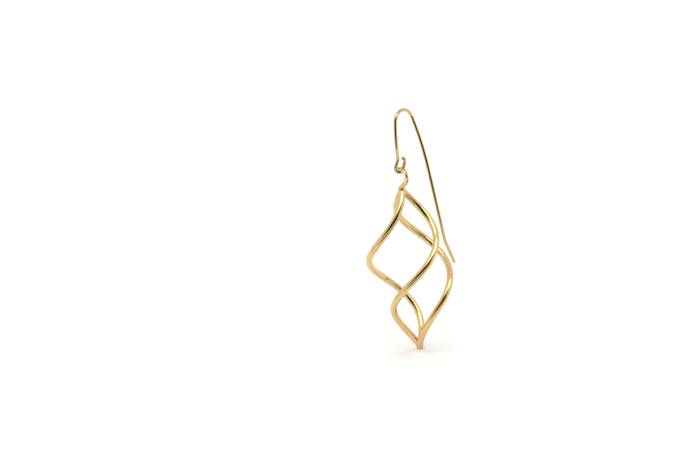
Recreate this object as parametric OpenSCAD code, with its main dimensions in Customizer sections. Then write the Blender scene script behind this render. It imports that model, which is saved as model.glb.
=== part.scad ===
// Twisted dangle earring: a drop of three twisted, bulging wires that hangs by its eye ring from a
// long ear hook. The origin is the top of the hook's arch, where it hangs in the ear. The hook is bent
// in the YZ plane with its tail behind, towards +Y, and the drop hangs along -Z.

/* [Ear hook] */
// Diameter of the hook's round wire
hook_wire = 0.72; // [0.7:0.01:0.75]
// Radius of the front half of the arch over the ear lobe, at the wire's centre
front_arch_r = 2.5; // [2.3:0.1:3]
// Radius of the arch's rear half, at the wire's centre
rear_arch_r = 3.4; // [3:0.1:3.8]
// Length of the straight front limb above the small loop
limb_length = 1.45; // [1:0.05:3]
// Length of the straight tail behind the ear
tail_length = 16.1; // [13:0.1:19]
// Outward bend of the tail's flared end, in degrees
flare_bend = 13.5; // [5:0.5:20]
// Length of the flared end
flare_length = 5.7; // [4:0.1:8]
// Radius of the small loop at the hook's foot, at the wire's centre
loop_r = 0.84; // [0.83:0.01:0.87]
// Turn of the small loop out of the hook's plane, in degrees
loop_turn = 45; // [44:1:47]

/* [Drop] */
// Height between the drop's two points, where the centres of its wires meet
cage_h = 34.5; // [30:0.1:38]
// Radius of the drop at its widest, at the wires' centres
cage_r = 8.7; // [7:0.1:9.5]
// Diameter of the drop's wires
cage_wire = 1.45; // [1.2:0.05:1.6]
// Turn of each wire between the two points, in degrees
cage_twist = 216; // [180:2:270]
// Fullness of the bulge: a higher power draws both ends out longer
bulge_power = 1.12; // [1:0.02:1.5]
// How much the bulge leans towards the top
bulge_lift = 0.09; // [0:0.01:0.2]
// Extra turn of the wires a quarter of the way from each point, in degrees
twist_ease = 7.5; // [0:0.5:9]

/* [Eye ring] */
// Diameter of the eye ring's wire
ring_wire = 0.62; // [0.58:0.01:0.65]
// Height of the eye ring, at its wire's centre
ring_h = 3.96; // [3.86:0.02:4.1]
// Width of the eye ring, at its wire's centre
ring_w = 3.7; // [3.6:0.05:3.8]
// How far the ring's sides bow out of its plane
ring_bow = 1.44; // [1.3:0.02:1.5]

/* [Hidden] */

// The arch runs into the front limb through a gentle curve, and into the tail through another
front_ease_bend = 10;
front_ease_r = 35;
rear_ease_bend = 12.5;
rear_ease_r = 60;
// Tilt of the tail from upright, and the radius of the bend that flares its end
tail_lean = 9.5;
flare_r = 3.6;
// The limb bends aside above the small loop, so that the loop sits under it
neck_bend = 25;
neck_r = 2;
neck_length = 1.15;
// The loop's free side spreads outwards by some degrees, and ends in a curl
loop_spread = 18;
loop_side = 1.5;
curl_r = 0.8;
curl_bend = 88;
// Chamfer of the flared tip
tip_chamfer = 0.12;

// Columns of a bend table: straight run, turn about the wire, then the bend's radius and its angle
STRAIGHT = 0;
TURN = 1;
RADIUS = 2;
BEND = 3;
front_bends = [
    [0, 0, front_arch_r, 90 - front_ease_bend],
    [0, 0, front_ease_r, front_ease_bend],
    [limb_length, loop_turn + 180, neck_r, neck_bend],
    [neck_length, 180, loop_r, 180 + neck_bend - loop_spread],
    [loop_side, 0, curl_r, curl_bend],
];
rear_bends = [
    [0, 0, rear_arch_r, 90 - rear_ease_bend - tail_lean],
    [0, 0, rear_ease_r, rear_ease_bend],
    [tail_length, 180, flare_r, flare_bend],
];

// Foot of the front limb, and the lowest point of the small loop, at the wire's centre
foot_y = -front_arch_r * cos(front_ease_bend) - front_ease_r * (1 - cos(front_ease_bend));
foot_z = -front_arch_r * (1 - sin(front_ease_bend)) - front_ease_r * sin(front_ease_bend) - limb_length;
loop_out = loop_r * cos(neck_bend) - neck_r * (1 - cos(neck_bend)) - neck_length * sin(neck_bend);
loop_drop = (neck_r + loop_r) * sin(neck_bend) + neck_length * cos(neck_bend) + loop_r;
loop_low = [loop_out * sin(loop_turn), foot_y + loop_out * cos(loop_turn), foot_z - loop_drop];

// Rise of the eye ring's top above the loop's lowest point, at the wires' centres
ring_rise = 0.86;
// Height of the eye ring's bottom above the meeting point of the drop's wires
ring_foot = 0.6;
// Shift of the eye ring against its bow, which keeps its sides clear of the loop
ring_shift = 0.05;
// Radius of the curve to which the ring's sides are bowed
ring_bow_r = (pow(ring_h / 2, 2) + pow(ring_bow, 2)) / (2 * ring_bow);

// Turn of the drop about the vertical, and of its first wire at half height from the ring's bow
drop_turn = 40;
wire_phase = 31.5;
// Places of the three wires round the drop, in degrees: they are set by hand and not quite even
wire_places = [0, 127, 244];
// Diameter of the rounded joints where the wires meet, a little over the wire's own
joint_d = 1.055 * cage_wire;
cage_steps = 60;
ring_steps = 40;
tube_sides = 12;
// Largest bend and largest length between two corner rings in the hook's curves
bend_step = 10;
step_length = 1.2;
// The hook's tube is a little wider than the wire, so that its flats stand a hair proud of the round
// flared end, which it overlaps
tube_fit = 1.005 / cos(180 / tube_sides);
tip_overlap = 0.3;
// The drop's tubes are widened so that their section has the area of the round wire
area_fit = sqrt(2 * PI / (tube_sides * sin(360 / tube_sides)));
upper_point = loop_low + [0, 0, ring_rise - ring_h - ring_foot];

function unit(v) = v / norm(v);

// Centres along a wire bent by the rows of a table, from point p, running along h, bending towards b
function bent_path(rows, p, h, b, i = 0) =
    i == len(rows) ? [] :
    let (
        start = p + rows[i][STRAIGHT] * h,
        to = cos(rows[i][TURN]) * b + sin(rows[i][TURN]) * cross(h, b),
        r = rows[i][RADIUS],
        bend = rows[i][BEND],
        steps = ceil(max(bend / bend_step, r * bend * PI / 180 / step_length)),
        arc = [for (j = [0:steps])
            let (a = bend * j / steps) start + r * ((1 - cos(a)) * to + sin(a) * h)]
    )
    concat(
        norm(arc[0] - p) > 0 || i == 0 ? arc : [for (j = [1:steps]) arc[j]],
        bent_path(rows, arc[steps], cos(bend) * h + sin(bend) * to, cos(bend) * to - sin(bend) * h, i + 1)
    );

// Centre of a drop wire, where t runs from 0 at the upper point to 1 at the lower one
function bulge(t) = cage_r * pow(sin(180 * (t + bulge_lift * t * (1 - t))), bulge_power);
function wire_turn(t) = wire_phase + cage_twist * (0.5 - t) + twist_ease * sin(360 * t);
function wire_out(t) = [cos(wire_turn(t)), sin(wire_turn(t)), 0];
function wire_centre(t) = bulge(t) * wire_out(t) - [0, 0, cage_h * t];

// Centre of the eye ring's wire at angle a from its top
function ring_out(a) = [0, sin(a), cos(a)];
function ring_bow_at(z) = sqrt(pow(ring_bow_r, 2) - z * z) - ring_bow_r + ring_bow;
function ring_centre(a) =
    [ring_bow_at(ring_h / 2 * cos(a)) - ring_shift, ring_w / 2 * sin(a), ring_h / 2 * cos(a)];

// Corners round a tube at one centre, square to the tube's run and starting on its outward side
function corners(centre, run, out, d) =
    let (along = unit(run), side = unit(out - (out * along) * along), cross_side = cross(along, side))
    [for (i = [0:tube_sides - 1])
        let (a = 360 * i / tube_sides) centre + d / 2 * (cos(a) * side + sin(a) * cross_side)];

// Two triangles for each side between corner rings i and j, given the number of their first corners
function band(i, j) =
    [for (k = [0:tube_sides - 1])
        let (n = (k + 1) % tube_sides)
        each [[i + k, j + k, i + n], [i + n, j + k, j + n]]];

// Tube of diameter d along the centres, either open with flat ends or closed on itself
module tube(centres, outs, d, closed = false) {
    count = len(centres);
    next = function (i) closed ? (i + 1) % count : min(i + 1, count - 1);
    last = function (i) closed ? (i + count - 1) % count : max(i - 1, 0);
    points = [for (i = [0:count - 1])
        each corners(centres[i], centres[next(i)] - centres[last(i)], outs[i], d)];
    bands = [for (i = [0:count - (closed ? 1 : 2)]) each band(i * tube_sides, next(i) * tube_sides)];
    ends = closed ? [] : [
        [for (k = [0:tube_sides - 1]) k],
        [for (k = [tube_sides - 1:-1:0]) (count - 1) * tube_sides + k],
    ];
    polyhedron(points, concat(bands, ends));
}

// Ear hook: one wire, bent from the curled end of its small loop over the arch to the flared tip
module ear_hook() color("gold") {
    front = bent_path(front_bends, [0, 0, 0], [0, -1, 0], [0, 0, -1]);
    rear = bent_path(rear_bends, [0, 0, 0], [0, 1, 0], [0, 0, -1]);
    path = concat([for (i = [len(front) - 1:-1:1]) front[i]], rear);
    tip_lean = tail_lean + flare_bend;
    tube(concat(path, [rear[len(rear) - 1] + tip_overlap * [0, sin(tip_lean), -cos(tip_lean)]]),
        [for (i = [0:len(path)]) [1, 0, 0]], hook_wire * tube_fit);
    translate(rear[len(rear) - 1]) rotate([180 + tip_lean, 0, 0]) rotate_extrude($fn = 48)
        polygon([
            [0, 0],
            [hook_wire / 2, 0],
            [hook_wire / 2, flare_length - tip_chamfer],
            [hook_wire / 2 - tip_chamfer, flare_length],
            [0, flare_length],
        ]);
}

// Drop: three twisted wires that meet at two points, with the bowed eye ring soldered on top
module twist_drop() color("gold") translate(upper_point) rotate(drop_turn) {
    steps = [for (i = [0:cage_steps]) i / cage_steps];
    for (place = wire_places) rotate(place)
        tube([for (t = steps) wire_centre(t)], [for (t = steps) wire_out(t)], cage_wire * area_fit);
    for (z = [0, -cage_h]) translate([0, 0, z]) sphere(d = joint_d, $fn = 24);
    angles = [for (i = [0:ring_steps - 1]) 360 * i / ring_steps];
    translate([0, 0, ring_foot + ring_h / 2])
        tube([for (a = angles) ring_centre(a)], [for (a = angles) ring_out(a)], ring_wire * area_fit,
            closed = true);
}

ear_hook();
twist_drop();
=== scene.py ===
from math import ceil, cos, log, pi, radians, sin

import bpy
import numpy as np
from mathutils import Matrix, Vector


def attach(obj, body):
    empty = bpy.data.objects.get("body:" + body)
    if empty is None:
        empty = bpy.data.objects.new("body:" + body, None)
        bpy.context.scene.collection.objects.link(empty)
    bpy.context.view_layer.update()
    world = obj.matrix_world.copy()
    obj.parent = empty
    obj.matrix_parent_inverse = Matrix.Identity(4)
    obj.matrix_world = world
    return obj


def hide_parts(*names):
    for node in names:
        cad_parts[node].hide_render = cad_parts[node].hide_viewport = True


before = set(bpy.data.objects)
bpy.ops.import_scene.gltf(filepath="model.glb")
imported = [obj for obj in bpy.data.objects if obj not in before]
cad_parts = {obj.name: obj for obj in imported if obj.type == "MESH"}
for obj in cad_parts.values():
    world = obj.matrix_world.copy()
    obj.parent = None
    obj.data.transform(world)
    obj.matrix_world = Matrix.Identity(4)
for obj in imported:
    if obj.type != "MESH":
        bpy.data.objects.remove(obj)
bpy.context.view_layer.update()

# Ear hook
# One length of round gold wire, bent by hand over mandrels: an open loop with a curled end at the
# front, a short limb, the arch that sits in the ear, and a long tail that leans back and flares at
# its filed tip. It is polished all over before the drop's eye ring is slipped into the loop.
mm = 0.001
hook_wire = 0.72 * mm
front_arch_r, rear_arch_r = 2.5 * mm, 3.4 * mm
front_ease_bend, front_ease_r = 10, 35 * mm
rear_ease_bend, rear_ease_r = 12.5, 60 * mm
limb_length = 1.45 * mm
tail_lean, tail_length = 9.5, 16.1 * mm
flare_bend, flare_r, flare_length = 13.5, 3.6 * mm, 5.7 * mm
neck_bend, neck_r, neck_length = 25, 2 * mm, 1.15 * mm
loop_r, loop_turn, loop_spread, loop_side = 0.84 * mm, 45, 18, 1.5 * mm
curl_r, curl_bend = 0.8 * mm, 88
# Widths of the rounding at the flared tip, and at the curl's cut end
tip_rim, cut_rim = 0.17 * mm, 0.05 * mm

# Bend tables, one row for each bend: straight run before it, turn about the wire, radius, angle
front_bends = [
    (0, 0, front_arch_r, 90 - front_ease_bend),
    (0, 0, front_ease_r, front_ease_bend),
    (limb_length, loop_turn + 180, neck_r, neck_bend),
    (neck_length, 180, loop_r, 180 + neck_bend - loop_spread),
    (loop_side, 0, curl_r, curl_bend),
]
rear_bends = [
    (0, 0, rear_arch_r, 90 - rear_ease_bend - tail_lean),
    (0, 0, rear_ease_r, rear_ease_bend),
    (tail_length, 180, flare_r, flare_bend),
]

# Largest distance between two rings of the wire's mesh in a bend and on a straight, the largest bend
# between them in degrees, and the number of rings on the flare
bent_step, straight_step, bend_step, flare_rings = 0.1 * mm, 0.4 * mm, 5, 17


def unit(v):
    return v / np.linalg.norm(v, axis=-1, keepdims=True)


def bent_wire(bends, along, inward):
    """Centres of a wire that starts at the origin and takes each bend of the table in turn."""
    centres = [np.zeros(3)]
    for straight, turn, radius, bend in bends:
        start = centres[-1] + straight * along
        for share in np.linspace(0, 1, ceil(straight / straight_step) + 1)[1:]:
            centres.append(start - (1 - share) * straight * along)
        toward = cos(radians(turn)) * inward + sin(radians(turn)) * np.cross(along, inward)
        steps = ceil(max(radius * radians(bend) / bent_step, bend / bend_step))
        for angle in np.linspace(0, radians(bend), steps + 1)[1:]:
            centres.append(start + radius * ((1 - cos(angle)) * toward + sin(angle) * along))
        along, inward = (
            cos(radians(bend)) * along + sin(radians(bend)) * toward,
            cos(radians(bend)) * toward - sin(radians(bend)) * along,
        )
    return np.array(centres), along


def rounded_end(centre, outward, radius, rim, steps=6):
    """Centres and radii of the rings that round off a wire's cut end, from its full radius inwards."""
    angles = np.linspace(0, pi / 2, steps + 1)[1:]
    centres = [centre + rim * sin(angle) * outward for angle in angles]
    return centres, [radius - rim + rim * cos(angle) for angle in angles]


def wire_mesh(name, centres, radii, sides=32, closed=False):
    """A tube round the centres, with a ring of vertices at each, capped flat or closed on itself."""
    centres = np.asarray(centres)
    step = np.roll(centres, -1, 0) - np.roll(centres, 1, 0) if closed else np.gradient(centres, axis=0)
    run = unit(step)
    side = unit(np.cross(run[0], run[0][[1, 2, 0]]))
    rings = []
    angles = np.linspace(0, 2 * pi, sides, endpoint=False)[:, None]
    for centre, forward, radius in zip(centres, run, radii):
        side = unit(side - side @ forward * forward)
        rings.append(centre + radius * (np.cos(angles) * side + np.sin(angles) * np.cross(forward, side)))
    count = len(rings)
    faces = [
        (i * sides + k, i * sides + (k + 1) % sides, j * sides + (k + 1) % sides, j * sides + k)
        for i, j in ((i, (i + 1) % count) for i in range(count if closed else count - 1))
        for k in range(sides)
    ]
    if not closed:
        faces += [tuple(range(sides))[::-1], tuple(range((count - 1) * sides, count * sides))]
    mesh = bpy.data.meshes.new(name)
    mesh.from_pydata(np.concatenate(rings).tolist(), [], faces)
    mesh.shade_smooth()
    piece = bpy.data.objects.new(name, mesh)
    bpy.context.scene.collection.objects.link(piece)
    return piece


class Shade:
    """A socket in a material's node tree. Sums and products of it add Math nodes."""

    def __init__(self, tree, socket=None):
        self.tree = tree
        self.socket = socket

    def node(self, kind, settings=None, sockets=None, output=0):
        """A node of a kind, with its settings and the values or links of its sockets."""
        made = self.tree.nodes.new(kind)
        for name, setting in (settings or {}).items():
            setattr(made, name, setting)
        for name, value in (sockets or {}).items():
            if isinstance(value, Shade):
                self.tree.links.new(value.socket, made.inputs[name])
            else:
                made.inputs[name].default_value = value
        return Shade(self.tree, made.outputs[output] if made.outputs else None)

    def math(self, operation, first, second):
        return self.node("ShaderNodeMath", {"operation": operation}, {0: first, 1: second})

    def __add__(self, other):
        return self.math("ADD", self, other)

    def __mul__(self, other):
        return self.math("MULTIPLY", self, other)

    __radd__ = __add__
    __rmul__ = __mul__


def new_material(name):
    """An empty material, and the start of its nodes."""
    material = bpy.data.materials.new(name)
    material.use_nodes = True
    material.node_tree.nodes.clear()
    return material, Shade(material.node_tree)


def noise(shade, cell, detail):
    """Noise over the object with features about one cell across, given in metres."""
    place = shade.node("ShaderNodeTexCoord", output="Object")
    return shade.node("ShaderNodeTexNoise", {}, {"Vector": place, "Scale": 1 / cell, "Detail": detail})


# Tones of the hook's gold, the roughness of its polish and the depth of the drawn wire's ripple
hook_gold, hook_deep_gold = (0.67, 0.495, 0.23), (0.58, 0.41, 0.175)
hook_polish, hook_ripple = 0.02, 0.0015 * mm
# Sizes of the gold's soft patches, of its buffing marks and of the ripple
patch_size, mark_size, ripple_size = 3 * mm, 0.05 * mm, 0.9 * mm
# How much rougher than the polish the patches, the buffing marks and the solder are
patch_rough, mark_rough, solder_rough = 0.02, 0.03, 1.4


def polished_gold(name, gold, deep_gold, polish, ripple_depth):
    """Gold with deeper patches, buffing marks and the ripple of drawn wire, duller at the solder."""
    material, shade = new_material(name)
    solder_share = shade.node("ShaderNodeAttribute", {"attribute_name": "solder"}, output="Fac")
    patches = noise(shade, patch_size, detail=2)
    buffing = noise(shade, mark_size, detail=4)
    waviness = noise(shade, ripple_size, detail=1)
    tones = {"Factor": patches, "A": (*gold, 1), "B": (*deep_gold, 1)}
    colour = shade.node("ShaderNodeMix", {"data_type": "RGBA"}, tones, output="Result")
    bump = shade.node("ShaderNodeBump", {}, {"Strength": 1, "Distance": ripple_depth, "Height": waviness})
    roughness = polish + mark_rough * buffing + patch_rough * patches
    surface = shade.node(
        "ShaderNodeBsdfPrincipled",
        {},
        {
            "Base Color": colour,
            "Metallic": 1,
            "Roughness": roughness + solder_rough * solder_share * solder_share,
            "Normal": bump,
        },
    )
    shade.node("ShaderNodeOutputMaterial", {}, {"Surface": surface})
    return material


front, curl_end = bent_wire(front_bends, np.array([0, -1, 0]), np.array([0, 0, -1]))
rear, flare_run = bent_wire(rear_bends, np.array([0, 1, 0]), np.array([0, 0, -1]))
wire_r = hook_wire / 2
flare_shares = np.linspace(0, 1, flare_rings + 1)[1:]
flare = [rear[-1] + share * (flare_length - tip_rim) * flare_run for share in flare_shares]
cut_centres, cut_radii = rounded_end(front[-1], curl_end, wire_r, cut_rim)
tip_centres, tip_radii = rounded_end(flare[-1], flare_run, wire_r, tip_rim)
full_rings = len(front) - 1 + len(rear) + len(flare)
hook_centres = [*cut_centres[::-1], *front[:0:-1], *rear, *flare, *tip_centres]
hook_radii = [*cut_radii[::-1], *[wire_r] * full_rings, *tip_radii]
hook = wire_mesh("gold_ear_hook", hook_centres, hook_radii)
hook.data.materials.append(polished_gold("hook_gold", hook_gold, hook_deep_gold, hook_polish, hook_ripple))
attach(hook, "hook")
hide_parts("ear_hook")

# Twisted drop
# Three heavier gold wires, bulged and twisted round the vertical, drawn together at the top and the
# bottom point and soldered there, with a small eye ring, bowed a little, soldered on the top point.
# Once soldered it is filed and buffed as one body, so the joints flow into the wires.
cage_h = 34.5 * mm
cage_r = 8.7 * mm
cage_wire = 1.45 * mm
cage_twist = 216
bulge_power, bulge_lift = 1.12, 0.09
twist_ease = 7.5
ring_wire, ring_h, ring_w, ring_bow = 0.62 * mm, 3.96 * mm, 3.7 * mm, 1.44 * mm
ring_rise, ring_foot, ring_shift = 0.86 * mm, 0.6 * mm, 0.05 * mm
drop_turn, wire_phase = 40, 31.5
wire_places = (0, 127, 244)
# Width of the solder's hollow, its reach along the wires, and how far below their meeting place the
# lower point is filed flat
solder, solder_reach, tip_depth = 0.08 * mm, 1.2 * mm, 0.5 * mm
# Tones of the drop's gold, the roughness of its polish and the depth of its ripple
drop_gold, drop_deep_gold = (0.785, 0.577, 0.27), (0.735, 0.525, 0.23)
drop_polish, drop_ripple = 0.015, 0.001 * mm

# Rings and sides of the rough tubes, the size of the fused skin's cells, and the rounds that settle it
strand_rings, eye_rings, rough_sides = 400, 120, 24
cell = 0.12 * mm
settle_rounds, smooth_rounds = 6, 3
nearest_rounds, small_step, least_square = 8, 1e-4, 1e-12

loop_low = front[np.argmin(front[:, 2])]
upper_point = loop_low + np.array([0, 0, ring_rise - ring_h - ring_foot])
ring_centre_z = ring_foot + ring_h / 2
ring_bow_r = ((ring_h / 2) ** 2 + ring_bow**2) / (2 * ring_bow)
tip_z = upper_point[2] - cage_h - tip_depth
turn = np.array(Matrix.Rotation(radians(drop_turn), 3, "Z"))


def strand(t, k):
    """Centre of the drop's wire k, where t runs from 0 at the upper point to 1 at the lower one."""
    t = np.clip(t, 0, 1)
    out = cage_r * np.abs(np.sin(pi * (t + bulge_lift * t * (1 - t)))) ** bulge_power
    angle = np.radians(wire_places[k] + wire_phase + cage_twist * (0.5 - t) + twist_ease * np.sin(2 * pi * t))
    return upper_point + np.stack([out * np.cos(angle), out * np.sin(angle), -cage_h * t], -1) @ turn.T


def eye_ring(t):
    """Centre of the eye ring's wire, where t runs once round from its top."""
    x, z = ring_w / 2 * np.sin(2 * pi * t), ring_h / 2 * np.cos(2 * pi * t)
    bow = np.sqrt(ring_bow_r**2 - z * z) - ring_bow_r + ring_bow - ring_shift
    return upper_point + np.stack([bow, x, z + ring_centre_z], -1) @ turn.T


def nearest(line, points, t, low=-1, high=2):
    """The place t on a line that is closest to each point, stepped there from a first guess."""
    for _ in range(nearest_rounds):
        run = (line(t + small_step) - line(t - small_step)) / (2 * small_step)
        gap = points - line(t)
        square = np.maximum(np.sum(run * run, -1), least_square)
        t = np.clip(t + np.sum(gap * run, -1) / square, low, high)
    return t


def soldered(points):
    """Height over the soldered body, the way out of it, and how much solder there is at each point."""
    local = (points - upper_point) @ turn
    gaps, ways = [], []
    for k in range(len(wire_places)):
        t = nearest(lambda t: strand(t, k), points, -local[:, 2] / cage_h, 0, 1)
        away = points - strand(t, k)
        end = np.minimum(t, 1 - t) * cage_h
        radius = cage_wire / 2 - solder * log(len(wire_places)) * np.exp(-((end / solder_reach) ** 2))
        gaps.append(np.linalg.norm(away, axis=-1) - radius)
        ways.append(unit(away))
    t = nearest(eye_ring, points, np.arctan2(local[:, 1], local[:, 2] - ring_centre_z) / (2 * pi))
    away = points - eye_ring(t)
    gaps.append(np.linalg.norm(away, axis=-1) - ring_wire / 2)
    ways.append(unit(away))
    gaps, ways = np.array(gaps), np.array(ways)
    least = gaps.min(0)
    pull = np.exp(-(gaps - least) / solder)
    share = pull / pull.sum(0)
    height = least - solder * np.log(pull.sum(0))
    return height, np.sum(share[..., None] * ways, 0), 1 - share.max(0)


# Rough tubes and balls, joined and fused into one skin
strand_shares = np.linspace(0, 1, strand_rings)
parts = [
    wire_mesh(f"strand_{k}", strand(strand_shares, k), [cage_wire / 2] * strand_rings, rough_sides)
    for k in range(len(wire_places))
]
eye_centres = eye_ring(np.linspace(0, 1, eye_rings, endpoint=False))
parts.append(wire_mesh("eye", eye_centres, [ring_wire / 2] * eye_rings, rough_sides, closed=True))
for end in (0.0, 1.0):
    bpy.ops.mesh.primitive_uv_sphere_add(segments=32, ring_count=16, radius=cage_wire / 2)
    parts.append(bpy.context.object)
    parts[-1].data.transform(Matrix.Translation(Vector(strand(np.array(end), 0))))
with bpy.context.temp_override(active_object=parts[0], selected_editable_objects=parts):
    bpy.ops.object.join()
drop = parts[0]
drop.name = drop.data.name = "gold_twist_drop"
remesh = drop.modifiers.new("fuse", "REMESH")
remesh.mode = "VOXEL"
remesh.voxel_size = cell
fused = bpy.data.meshes.new_from_object(drop.evaluated_get(bpy.context.evaluated_depsgraph_get()))
drop.modifiers.clear()
drop.data = fused

# The skin is smoothed a little and settled on the soldered body
points = np.zeros(len(fused.vertices) * 3)
fused.vertices.foreach_get("co", points)
points = points.reshape(-1, 3)
edges = np.zeros(len(fused.edges) * 2, int)
fused.edges.foreach_get("vertices", edges)
edges = edges.reshape(-1, 2)
joined = np.concatenate([edges, edges[:, ::-1]])
neighbours = np.bincount(joined[:, 0], minlength=len(points))
for settle in range(settle_rounds):
    if settle < smooth_rounds:
        near = np.stack([np.bincount(joined[:, 0], points[joined[:, 1], axis]) for axis in range(3)], -1)
        points = (points + near / neighbours[:, None]) / 2
    height, way, seam = soldered(points)
    points -= (height / np.sum(way * way, -1))[:, None] * way
height, way, seam = soldered(points)

# The lower point is filed flat
filed = points[:, 2] < tip_z
points[filed, 2] = tip_z
way[filed] = (0, 0, -1)
fused.vertices.foreach_set("co", points.ravel())
fused.shade_smooth()
fused.normals_split_custom_set_from_vertices(unit(way))
fused.attributes.new("solder", "FLOAT", "POINT").data.foreach_set("value", seam)
fused.update()
fused.materials.clear()
fused.materials.append(polished_gold("drop_gold", drop_gold, drop_deep_gold, drop_polish, drop_ripple))
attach(drop, "drop")
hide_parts("twist_drop")

# Floor and light
# A white table in a small white light tent, which the gold mirrors. A soft lamp hangs high in front,
# and the tent's top lights the table. Four cards show in the gold alone: the dark opening and the lens
# hood in it, a dark card of painted shade on the table in front, and a warm shade over the table's left.
view_azimuth, view_elevation, view_roll = radians(40), radians(14.7), radians(6.8)
look_right = Vector((cos(view_azimuth), sin(view_azimuth), 0))
look_away = Vector((-sin(view_azimuth), cos(view_azimuth), 0))
up = Vector((0, 0, 1))
# Places in the tent are measured from the table's top, a hair under the drop's lower point
under_drop = 0.1 * mm
foot = Vector((upper_point[0], upper_point[1], tip_z - under_drop))
table_reach = 3000
table_colour, table_glow = (0.9, 0.9, 0.9), 0.11
tent_glow, tent_top_glow, tent_top_width = 0.92, 0.18, radians(30)
lamp_width, lamp_depth, lamp_glow = 215 * mm, 65 * mm, 2.1


def in_front(across, toward, height):
    """A place in the tent, from the floor under the drop: across to the right, toward the viewer, up."""
    return foot + across * look_right - toward * look_away + height * up


def card(name, corners):
    """A flat card with its corners at places in the tent, in millimetres."""
    mesh = bpy.data.meshes.new(name)
    mesh.from_pydata([in_front(*(mm * length for length in corner)) for corner in corners], [], [range(4)])
    made = bpy.data.objects.new(name, mesh)
    bpy.context.scene.collection.objects.link(made)
    return made


def light(name, kind):
    """A light in the tent, which still gets its size, strength and place."""
    made = bpy.data.objects.new(name, bpy.data.lights.new(name, kind))
    bpy.context.scene.collection.objects.link(made)
    return made


near_left, near_right = (-table_reach, table_reach, 0), (table_reach, table_reach, 0)
far_right, far_left = (table_reach, -table_reach, 0), (-table_reach, -table_reach, 0)
floor = card("floor", [near_left, near_right, far_right, far_left])
material, shade = new_material("white_table")
surface = shade.node(
    "ShaderNodeBsdfPrincipled",
    {},
    {
        "Base Color": (*table_colour, 1),
        "Roughness": 0.9,
        "Specular IOR Level": 0,
        "Emission Color": (1, 1, 1, 1),
        "Emission Strength": table_glow,
    },
)
shade.node("ShaderNodeOutputMaterial", {}, {"Surface": surface})
floor.data.materials.append(material)

# Left, right, near, far, low and high edges of each card, in millimetres, and its colour in the gold
mirrored_cards = {
    "tent_opening": (-110, 108, 92, 92, 22, 130, (0.2, 0.13, 0.04)),
    "lens_hood": (-88, 58, 90, 90, 34, 84, (0.01, 0.003, 0)),
    # Painted shade: a dark card lying on the table in front, which darkens the table that the gold mirrors
    "painted_table_shade": (-35, 100, 70, 32, 1, 1, (0.05, 0.035, 0.015)),
    "table_shade": (-125, -36, 64, 2, 0.8, 0.8, (0.8, 0.72, 0.61)),
}
for name, (left, right, near, far, low, high, colour) in mirrored_cards.items():
    mirrored = card(name, [(left, near, low), (right, near, low), (right, far, high), (left, far, high)])
    material, shade = new_material(name)
    surface = shade.node("ShaderNodeEmission", {}, {"Color": (*colour, 1), "Strength": 1})
    shade.node("ShaderNodeOutputMaterial", {}, {"Surface": surface})
    mirrored.data.materials.append(material)
    mirrored.visible_camera = mirrored.visible_diffuse = mirrored.visible_shadow = False

soft_lamp = light("soft_lamp", "AREA")
soft_lamp.data.shape = "RECTANGLE"
soft_lamp.data.size, soft_lamp.data.size_y = lamp_width, lamp_depth
soft_lamp.data.energy = pi * lamp_width * lamp_depth * lamp_glow
soft_lamp.visible_diffuse = False
lamp_place = in_front(45 * mm, 90 * mm, 194 * mm)
lamp_aim = in_front(45 * mm, 0, 25 * mm) - lamp_place
lamp_turn = lamp_aim.to_track_quat("-Z", "Y").to_matrix().to_4x4()
soft_lamp.matrix_world = Matrix.Translation(lamp_place) @ lamp_turn

tent_top = light("tent_top", "SUN")
tent_top.data.angle = tent_top_width
tent_top.data.energy = pi * tent_top_glow
tent_top.visible_glossy = False

world = bpy.data.worlds.new("white_tent")
world.use_nodes = True
world.node_tree.nodes["Background"].inputs["Color"].default_value = (1, 1, 1, 1)
world.node_tree.nodes["Background"].inputs["Strength"].default_value = tent_glow
bpy.context.scene.world = world
bpy.context.scene.view_settings.view_transform = "Standard"

# Camera
# A long lens that looks into the tent at the photograph's angle. The drop's upper point stands at a
# known place in the frame of 700 by 459 pixels, and a pixel there is 0.21 mm on the real earring.
frame_px = Vector((700, 459))
point_px = Vector((401.7, 189.2))
pixel = 0.21 * mm
camera_distance = 1.2
look = cos(view_elevation) * look_away - sin(view_elevation) * up
look_up = sin(view_elevation) * look_away + cos(view_elevation) * up
image_right = cos(view_roll) * look_right - sin(view_roll) * look_up
image_up = sin(view_roll) * look_right + cos(view_roll) * look_up
offset = (frame_px / 2 - point_px) * pixel
centre = Vector(upper_point) + offset.x * image_right - offset.y * image_up
lens = bpy.data.cameras.new("camera")
lens.sensor_width = 36
lens.lens = lens.sensor_width * camera_distance / (frame_px.x * pixel)
lens.clip_start = 0.01
camera = bpy.data.objects.new("camera", lens)
bpy.context.scene.collection.objects.link(camera)
turned = Matrix([image_right, image_up, -look]).transposed().to_4x4()
camera.matrix_world = Matrix.Translation(centre - camera_distance * look) @ turned
bpy.context.scene.camera = camera
